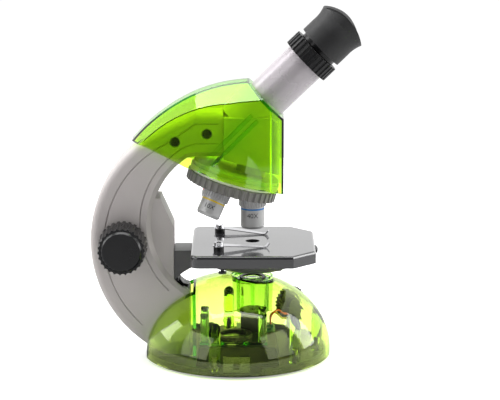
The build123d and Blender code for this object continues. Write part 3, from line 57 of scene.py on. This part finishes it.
def objective_axis(turn):
    """Direction down an objective placed turn degrees round the nosepiece axis."""
    r = math.radians(turn)
    across = TURRET_SIDE * math.cos(r) + TURRET_AXIS.cross(TURRET_SIDE) * math.sin(r)
    return (TURRET_AXIS * math.cos(TURRET_TURN) + across * math.sin(TURRET_TURN)).normalized()


# ---------------------------------------------------------------- materials
CLOUD_LOW, CLOUD_HIGH = 0.3, 0.7  # the stretch of the cloud noise that the gloss follows
COAT_ROUGHNESS = 0.05


def node(tree, kind, **values):
    """A shader node with its inputs or properties set by name."""
    made = tree.nodes.new(kind)
    for key, value in values.items():
        if key in made.inputs:
            made.inputs[key].default_value = value
        else:
            setattr(made, key, value)
    return made


def material(name, colour, rough, rough_spread=0.08, grain=900.0, bump=0.15, depth=0.00005, shade=0.06,
             metallic=0.0, coat=0.0, transmission=0.0, ior=1.49, specular=0.5, round_edges=0.0):
    """Moulded or metal finish: mottled colour, uneven gloss and a fine surface grain, from noise."""
    made = bpy.data.materials.new(name)
    made.use_nodes = True
    made.diffuse_color = (*colour, 1)
    tree = made.node_tree
    shader = tree.nodes["Principled BSDF"]
    shader.inputs["Metallic"].default_value = metallic
    shader.inputs["Coat Weight"].default_value = coat
    shader.inputs["Coat Roughness"].default_value = COAT_ROUGHNESS
    shader.inputs["IOR"].default_value = ior
    shader.inputs["Specular IOR Level"].default_value = specular
    shader.inputs["Transmission Weight"].default_value = transmission
    place = tree.nodes.new("ShaderNodeTexCoord")
    cloud = node(tree, "ShaderNodeTexNoise", Scale=42.0, Detail=5.0, Roughness=0.6)
    fine = node(tree, "ShaderNodeTexNoise", Scale=grain, Detail=3.0, Roughness=0.55)
    for texture in (cloud, fine):
        tree.links.new(place.outputs["Object"], texture.inputs["Vector"])
    mix = node(tree, "ShaderNodeMix", data_type="RGBA", blend_type="MIX")
    mix.inputs[MIX_A].default_value = (*[c * (1 - shade) for c in colour], 1)
    mix.inputs[MIX_B].default_value = (*[min(1.0, c * (1 + shade)) for c in colour], 1)
    tree.links.new(cloud.outputs["Fac"], mix.inputs[MIX_FACTOR])
    tree.links.new(mix.outputs[MIX_RESULT], shader.inputs["Base Color"])
    spread = node(tree, "ShaderNodeMapRange")
    spread.inputs["From Min"].default_value = CLOUD_LOW
    spread.inputs["From Max"].default_value = CLOUD_HIGH
    spread.inputs["To Min"].default_value = max(0.0, rough - rough_spread)
    spread.inputs["To Max"].default_value = min(1.0, rough + rough_spread)
    tree.links.new(cloud.outputs["Fac"], spread.inputs["Value"])
    tree.links.new(spread.outputs["Result"], shader.inputs["Roughness"])
    relief = node(tree, "ShaderNodeBump", Strength=bump, Distance=depth)
    tree.links.new(fine.outputs["Fac"], relief.inputs["Height"])
    if round_edges:
        rounding = node(tree, "ShaderNodeBevel", samples=4, Radius=round_edges)
        tree.links.new(rounding.outputs["Normal"], relief.inputs["Normal"])
    tree.links.new(relief.outputs["Normal"], shader.inputs["Normal"])
    return made


def clear_plastic(name, rough=0.02, colour=(1.0, 1.0, 1.0), absorb=None, density=0.0, shade=0.02):
    """See-through plastic, darker where it is thicker. Shadow rays pass it, which lights the inside."""
    made = material(name, colour, rough, rough_spread=0.015, grain=120.0, bump=0.03, depth=0.0002,
                    shade=shade, transmission=1.0, ior=1.5)
    tree = made.node_tree
    output = tree.nodes["Material Output"]
    through = tree.nodes.new("ShaderNodeBsdfTransparent")
    through.inputs["Color"].default_value = (*colour, 1)
    path = tree.nodes.new("ShaderNodeLightPath")
    swap = tree.nodes.new("ShaderNodeMixShader")
    tree.links.new(path.outputs["Is Shadow Ray"], swap.inputs["Fac"])
    tree.links.new(tree.nodes["Principled BSDF"].outputs["BSDF"], swap.inputs[1])
    tree.links.new(through.outputs["BSDF"], swap.inputs[2])
    tree.links.new(swap.outputs["Shader"], output.inputs["Surface"])
    if absorb:
        depth_tint = node(tree, "ShaderNodeVolumeAbsorption", Density=density)
        depth_tint.inputs["Color"].default_value = (*absorb, 1)
        tree.links.new(depth_tint.outputs["Volume"], output.inputs["Volume"])
    return made


MATS = {
    "arm": material("arm_grey", (0.57, 0.53, 0.52), 0.42, grain=1500, bump=0.18, shade=0.03,
                    round_edges=0.0007),
    "head": material("head_grey", (0.58, 0.57, 0.54), 0.4, grain=1500, bump=0.18, shade=0.03,
                     round_edges=0.0005),
    "tube": material("tube_lilac", (0.53, 0.49, 0.52), 0.3, grain=2200, bump=0.1, shade=0.02, metallic=0.15),
    "lime": clear_plastic("lime_dome", absorb=(0.79, 0.935, 0.02), density=370.0),
    "lime_hood": clear_plastic("lime_hood", absorb=(0.81, 0.955, 0.0), density=1250.0),
    "lime_dark": clear_plastic("lime_frame", absorb=(0.6, 0.88, 0.0), density=420.0),
    "black": material("black_satin", (0.012, 0.012, 0.013), 0.34, grain=1600, bump=0.2, specular=0.4,
                      round_edges=0.0004),
    "gloss": material("black_gloss", (0.008, 0.008, 0.009), 0.24, grain=700, bump=0.06, specular=0.35,
                      round_edges=0.0005),
    "stage": material("stage_dark", (0.03, 0.03, 0.033), 0.14, rough_spread=0.04, grain=1400, bump=0.05,
                      coat=1.0, round_edges=0.0004),
    "bracket": material("bracket_grey", (0.1, 0.098, 0.1), 0.36, grain=1500, bump=0.2, round_edges=0.0005),
    "turret": material("turret_grey", (0.18, 0.172, 0.165), 0.4, grain=1500, bump=0.2, round_edges=0.0004),
    "silver": material("objective_silver", (0.5, 0.5, 0.5), 0.34, grain=2000, bump=0.12, metallic=0.25,
                       round_edges=0.0003),
    "rubber": material("rubber_black", (0.018, 0.018, 0.019), 0.5, grain=1800, bump=0.35, depth=0.00008,
                       shade=0.15),
    "steel": material("steel_bright", (0.66, 0.66, 0.68), 0.2, grain=1200, bump=0.08, metallic=1.0),
    "dark_steel": material("steel_dark", (0.05, 0.05, 0.055), 0.3, grain=900, bump=0.1, metallic=0.8),
    "brass": material("brass_contact", (0.75, 0.56, 0.22), 0.25, metallic=1.0),
    "nylon": material("nylon_white", (0.75, 0.74, 0.7), 0.4, grain=1200),
    "battery": material("battery_wrap", (0.03, 0.08, 0.3), 0.25, coat=0.3),
    "board": material("board_green", (0.02, 0.14, 0.05), 0.3, coat=0.4),
    "mirror": material("mirror_silver", (0.9, 0.9, 0.92), 0.03, rough_spread=0.01, bump=0.01, metallic=1.0),
    "glass": clear_plastic("lens_glass", rough=0.01, colour=(0.95, 0.98, 1.0)),
    "led": clear_plastic("led_clear", rough=0.05, colour=(0.97, 0.95, 0.82)),
    "red": material("wire_red_pvc", (0.7, 0.07, 0.03), 0.35, coat=0.2),
    "yellow": material("wire_yellow_pvc", (0.85, 0.58, 0.03), 0.35, coat=0.2),
    "filters": clear_plastic("filter_film", rough=0.05, colour=(0.85, 0.35, 0.3)),
    "band_blue": material("band_blue", (0.02, 0.2, 0.55), 0.3, coat=0.3),
    "band_yellow": material("band_yellow", (0.8, 0.58, 0.04), 0.3, coat=0.3),
    "band_red": material("band_red", (0.65, 0.04, 0.03), 0.3, coat=0.3),
    "ink": material("ink_dark", (0.03, 0.03, 0.035), 0.4),
    # plain white for the two small discs on the power switch
    "white": material("white_dot", (0.85, 0.85, 0.85), 0.4),
}

FINISH = {
    "arm": ["arm_shell_left", "arm_shell_right"],
    "head": ["head_block", "nosepiece_seat"],
    "tube": ["eyepiece_tube"],
    "lime": ["base_dome"],
    "lime_hood": ["head_cover"],
    "lime_dark": ["illuminator_tube", "lamp_frame"],
    "black": ["base_plate", "battery_door", "battery_box", "led_holder", "dimmer_wheel", "dimmer_body",
              "switch_housing", "clip_posts", "filter_wheel", "eyepiece_barrel", "zoom_ring",
              "reflector_ring"],
    "gloss": ["focus_knob_left", "focus_knob_right", "rocker", "eyepiece_neck", "condenser_ring"],
    "stage": ["stage_plate"],
    "bracket": ["stage_bracket"],
    "turret": ["turret_disc"],
    "silver": ["objective_4x", "objective_10x", "objective_40x"],
    "rubber": ["rubber_feet", "eyecup"],
    "steel": ["guide_rods", "focus_shaft", "clip_left", "clip_right", "detent_ball", "turret_axle"],
    "dark_steel": ["base_screws", "arm_screws", "stage_screws"],
    "brass": ["battery_contacts"],
    "nylon": ["focus_bushes", "pinion", "stage_carriage"],
    "battery": ["batteries"],
    "board": ["led_board"],
    "mirror": ["head_mirror"],
    "glass": ["condenser_lens", "eye_lens", "field_lens", "objective_4x_lens", "objective_10x_lens",
              "objective_40x_lens"],
    "led": ["led"],
    "red": ["wire_red"],
    "yellow": ["wire_yellow"],
    "filters": ["colour_filters"],
}
for finish, names in FINISH.items():
    for name in names:
        nodes[name].data.materials.clear()
        nodes[name].data.materials.append(MATS[finish])


# ---------------------------------------------------------------- small pieces
def mesh_object(name, points, faces, look, smooth=True):
    """A mesh object from points in metres, in the CAD frame, with the material look."""
    mesh = bpy.data.meshes.new(name)
    mesh.from_pydata([tuple(p) for p in points], [], faces)
    mesh.update()
    if smooth:
        mesh.polygons.foreach_set("use_smooth", [True] * len(mesh.polygons))
    made = bpy.data.objects.new(name, mesh)
    bpy.context.scene.collection.objects.link(made)
    made.data.materials.append(look)
    return made


def lathe(name, origin, axis, profile, finish, body, steps=96):
    """A turned piece: profile holds (distance along axis, radius) pairs of a closed outline."""
    axis = axis.normalized()
    side = axis.cross(Y_AXIS if abs(axis.dot(Y_AXIS)) < 0.9 else X_AXIS).normalized()
    other = axis.cross(side)
    points, faces = [], []
    rows = len(profile)
    for i in range(steps):
        turn = 2 * math.pi * i / steps
        out = side * math.cos(turn) + other * math.sin(turn)
        points += [origin + axis * s + out * r for s, r in profile]
    for i in range(steps):
        j = (i + 1) % steps
        for k in range(rows):
            m = (k + 1) % rows
            faces.append((i * rows + k, j * rows + k, j * rows + m, i * rows + m))
    made = mesh_object(name, points, faces, MATS[finish])
    edges = made.modifiers.new("edge_split", "EDGE_SPLIT")
    edges.split_angle = math.radians(35)
    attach(made, body)
    return made


# objectives: node, turn round the nosepiece axis in degrees, colour of the ring and number
OBJECTIVES = [("objective_40x", 0, "band_blue", "40X"), ("objective_10x", 120, "band_yellow", "10X"),
              ("objective_4x", -120, "band_red", "4X")]
RING_START, RING_WIDTH = 64.2 * MM, 1.1 * MM  # along the objective's axis, from where the axes meet
RING_SINK, RING_RISE = 0.3 * MM, 0.06 * MM
NUMBER_SIZE, NUMBER_THICK = 4.4 * MM, 0.04 * MM
NUMBER_BASE, NUMBER_LIFT = 70.3 * MM, 0.03 * MM


def colour_ring(name, axis, band):
    """The thin painted ring round an objective's barrel."""
    inner, outer = BARREL_R - RING_SINK, BARREL_R + RING_RISE
    stop = RING_START + RING_WIDTH
    outline = [(RING_START, inner), (RING_START, outer), (stop, outer), (stop, inner)]
    lathe(f"{name}_ring", APEX, axis, outline, band, "turret")


def flat_text(name, words):
    """A thin flat mesh of words, centred on the origin."""
    text = bpy.data.curves.new(f"{name}_number", "FONT")
    text.body = words
    text.size = NUMBER_SIZE
    text.align_x = "CENTER"
    text.extrude = NUMBER_THICK
    holder = bpy.data.objects.new(f"{name}_text", text)
    bpy.context.scene.collection.objects.link(holder)
    bpy.context.view_layer.update()
    flat = bpy.data.meshes.new_from_object(holder)
    bpy.data.objects.remove(holder)
    return flat


def barrel_number(name, axis, facing, words):
    """The magnification, wrapped round the barrel so that it reads from the facing side."""
    letters = flat_text(name, words)
    out = (facing - axis * facing.dot(axis)).normalized()
    right = out.cross(axis).normalized()
    for vertex in letters.vertices:
        angle = vertex.co.x / BARREL_R
        radius = BARREL_R + NUMBER_LIFT + vertex.co.z
        down = NUMBER_BASE - vertex.co.y
        vertex.co = APEX + axis * down + (out * math.cos(angle) + right * math.sin(angle)) * radius
    letters.materials.append(MATS["ink"])
    number_piece = bpy.data.objects.new(f"{name}_number", letters)
    bpy.context.scene.collection.objects.link(number_piece)
    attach(number_piece, "turret")


for name, turn, band, words in OBJECTIVES:
    axis = objective_axis(turn)
    # the 4X reads from the far side, the others from the near side
    facing = Vector((-0.25 if turn > 0 else 0.0, 1.0 if turn < 0 else -1.0, 0.0))
    colour_ring(name, axis, band)
    barrel_number(name, axis, facing, words)

# two white dots on the power switch, placed on the rocker's two sloping faces
SWITCH_TURN, ROCKER_TILT = math.radians(232.0), math.radians(-6)
PIVOT_DEPTH = 2.6 * MM  # the rocker's axle lies this deep under the throat's surface
FACE_HEIGHT, FACE_SLOPE = 0.7, 0.382  # height in mm over that surface at the middle, and its rise per mm
DOT_AT = 2.1  # mm from the middle
DOT_R, DOT_FOOT_R, DOT_SINK, DOT_RISE = 0.6 * MM, 0.62 * MM, 0.1 * MM, 0.12 * MM
NEAR_ZERO = 0.0001 * MM  # radius that stands for the axis, so that no face has zero size

switch_out = Vector((-math.cos(SWITCH_TURN), 0, -math.sin(SWITCH_TURN)))
switch_along = Vector((math.sin(SWITCH_TURN), 0, -math.cos(SWITCH_TURN)))
pivot = THROAT_CENTRE - switch_out * THROAT_R - switch_out * PIVOT_DEPTH
tilt = Matrix.Rotation(ROCKER_TILT, 3, Y_AXIS)
dot_outline = [(-DOT_SINK, NEAR_ZERO), (DOT_RISE, NEAR_ZERO), (DOT_RISE, DOT_R), (-DOT_SINK, DOT_FOOT_R)]
for name, along in (("switch_dot_low", -DOT_AT), ("switch_dot_high", DOT_AT)):
    rise = (FACE_HEIGHT + FACE_SLOPE * abs(along)) * MM
    face = tilt @ (switch_out - switch_along * math.copysign(FACE_SLOPE, along)).normalized()
    spot = pivot + tilt @ (switch_along * along * MM + switch_out * (rise + PIVOT_DEPTH))
    lathe(name, spot, face, dot_outline, "white", "switch", steps=24)

# domed screw heads that cap the clip rivets: height over the clip and radius, from the middle outwards
SCREW_OUTLINE = [(-0.5 * MM, NEAR_ZERO), (0.55 * MM, NEAR_ZERO), (0.5 * MM, 1.0 * MM), (0.3 * MM, 1.7 * MM),
                 (0.0, 2.1 * MM), (-0.5 * MM, 2.15 * MM)]
for side, clip, body in ((-1, "clip_left", "clip_l"), (1, "clip_right", "clip_r")):
    clip_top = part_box(clip)[1]
    top = Vector((POST_X, side * POST_Y, clip_top.z))
    lathe(f"{body}_screw", top, Z_AXIS, SCREW_OUTLINE, "steel", body, steps=48)

# ---------------------------------------------------------------- floor, light and camera
FLOOR_HALF = 0.7  # metres
PAPER_SEEN, PAPER_BOUNCE, PAPER_GLOW = 0.93, 0.5, 0.4

paper = material("floor_paper", (PAPER_SEEN, PAPER_SEEN, PAPER_SEEN), 0.9, bump=0.02, shade=0.005)
# the paper looks white, directly and through the clear plastic, but throws back less light than that
looks = paper.node_tree
seen = looks.nodes.new("ShaderNodeLightPath")
paper_tone = node(looks, "ShaderNodeMix", data_type="RGBA")
paper_tone.inputs[MIX_A].default_value = (PAPER_BOUNCE, PAPER_BOUNCE, PAPER_BOUNCE, 1)
paper_tone.inputs[MIX_B].default_value = (PAPER_SEEN, PAPER_SEEN, PAPER_SEEN, 1)
either = node(looks, "ShaderNodeMath", operation="MAXIMUM")
looks.links.new(seen.outputs["Is Camera Ray"], either.inputs[0])
looks.links.new(seen.outputs["Is Transmission Ray"], either.inputs[1])
looks.links.new(either.outputs["Value"], paper_tone.inputs[MIX_FACTOR])
paper_shader = looks.nodes["Principled BSDF"]
looks.links.new(paper_tone.outputs[MIX_RESULT], paper_shader.inputs["Base Color"])
glow = node(looks, "ShaderNodeMath", operation="MULTIPLY")
glow.inputs[1].default_value = PAPER_GLOW
looks.links.new(either.outputs["Value"], glow.inputs[0])
paper_shader.inputs["Emission Color"].default_value = (1, 1, 1, 1)
looks.links.new(glow.outputs["Value"], paper_shader.inputs["Emission Strength"])
floor_corners = [(x * FLOOR_HALF, y * FLOOR_HALF, 0) for x, y in ((-1, -1), (1, -1), (1, 1), (-1, 1))]
floor = mesh_object("floor", floor_corners, [(0, 1, 2, 3)], paper, smooth=False)

# a white studio, dimmer on the near side, so that black parts stay black; the camera itself sees it white
STUDIO_NEAR, STUDIO_FAR = 0.08, 1.04  # brightness at its near and its far side
FADE_START, FADE_STOP = -0.55, 0.3  # where the brightness changes, as a direction's Y
world = bpy.data.worlds.new("studio")
world.use_nodes = True
sky = world.node_tree
direction = sky.nodes.new("ShaderNodeTexCoord")
split = sky.nodes.new("ShaderNodeSeparateXYZ")
sky.links.new(direction.outputs["Generated"], split.inputs["Vector"])
level = node(sky, "ShaderNodeMapRange", interpolation_type="SMOOTHSTEP")
for socket, value in (("From Min", FADE_START), ("From Max", FADE_STOP), ("To Min", STUDIO_NEAR),
                      ("To Max", STUDIO_FAR)):
    level.inputs[socket].default_value = value
sky.links.new(split.outputs["Y"], level.inputs["Value"])
backdrop = sky.nodes.new("ShaderNodeLightPath")
strength = node(sky, "ShaderNodeMath", operation="MAXIMUM")
sky.links.new(level.outputs["Result"], strength.inputs[0])
sky.links.new(backdrop.outputs["Is Camera Ray"], strength.inputs[1])
sky.nodes["Background"].inputs["Color"].default_value = (1, 1, 1, 1)
sky.links.new(strength.outputs["Value"], sky.nodes["Background"].inputs["Strength"])
bpy.context.scene.world = world


LAMP_TARGET = Vector((0, 0, 0.11))


def softbox(name, place, size, power):
    """A soft rectangular lamp aimed at the middle of the microscope."""
    lamp = bpy.data.lights.new(name, "AREA")
    lamp.shape = "RECTANGLE"
    lamp.size, lamp.size_y = size
    lamp.energy = power
    made = bpy.data.objects.new(name, lamp)
    made.location = place
    made.rotation_euler = (LAMP_TARGET - Vector(place)).to_track_quat("-Z", "Y").to_euler()
    bpy.context.scene.collection.objects.link(made)


softbox("top", (0.0, 0.15, 1.0), (0.9, 0.7), 10.0)
softbox("right", (0.95, 0.15, 0.45), (0.4, 0.8), 6.0)
softbox("left", (-0.9, 0.25, 0.6), (0.4, 0.8), 4.0)
softbox("front_left", (-0.95, -0.7, 0.5), (0.8, 0.9), 4.0)
softbox("front_right", (0.95, -0.65, 0.5), (0.8, 0.9), 3.6)

# a long lens that looks from the near side, a little from above
CAMERA_AT = (0.0088, -1.3018, 0.3850)
CAMERA_TILT = math.radians(77.9)  # from straight down
camera = bpy.data.cameras.new("camera")
camera.lens = 144
camera.sensor_width = 36
eye = bpy.data.objects.new("camera", camera)
eye.location = CAMERA_AT
eye.rotation_euler = (CAMERA_TILT, 0, 0)
bpy.context.scene.collection.objects.link(eye)
bpy.context.scene.camera = eye
bpy.context.scene.view_settings.view_transform = "Standard"

bpy.context.view_layer.update()
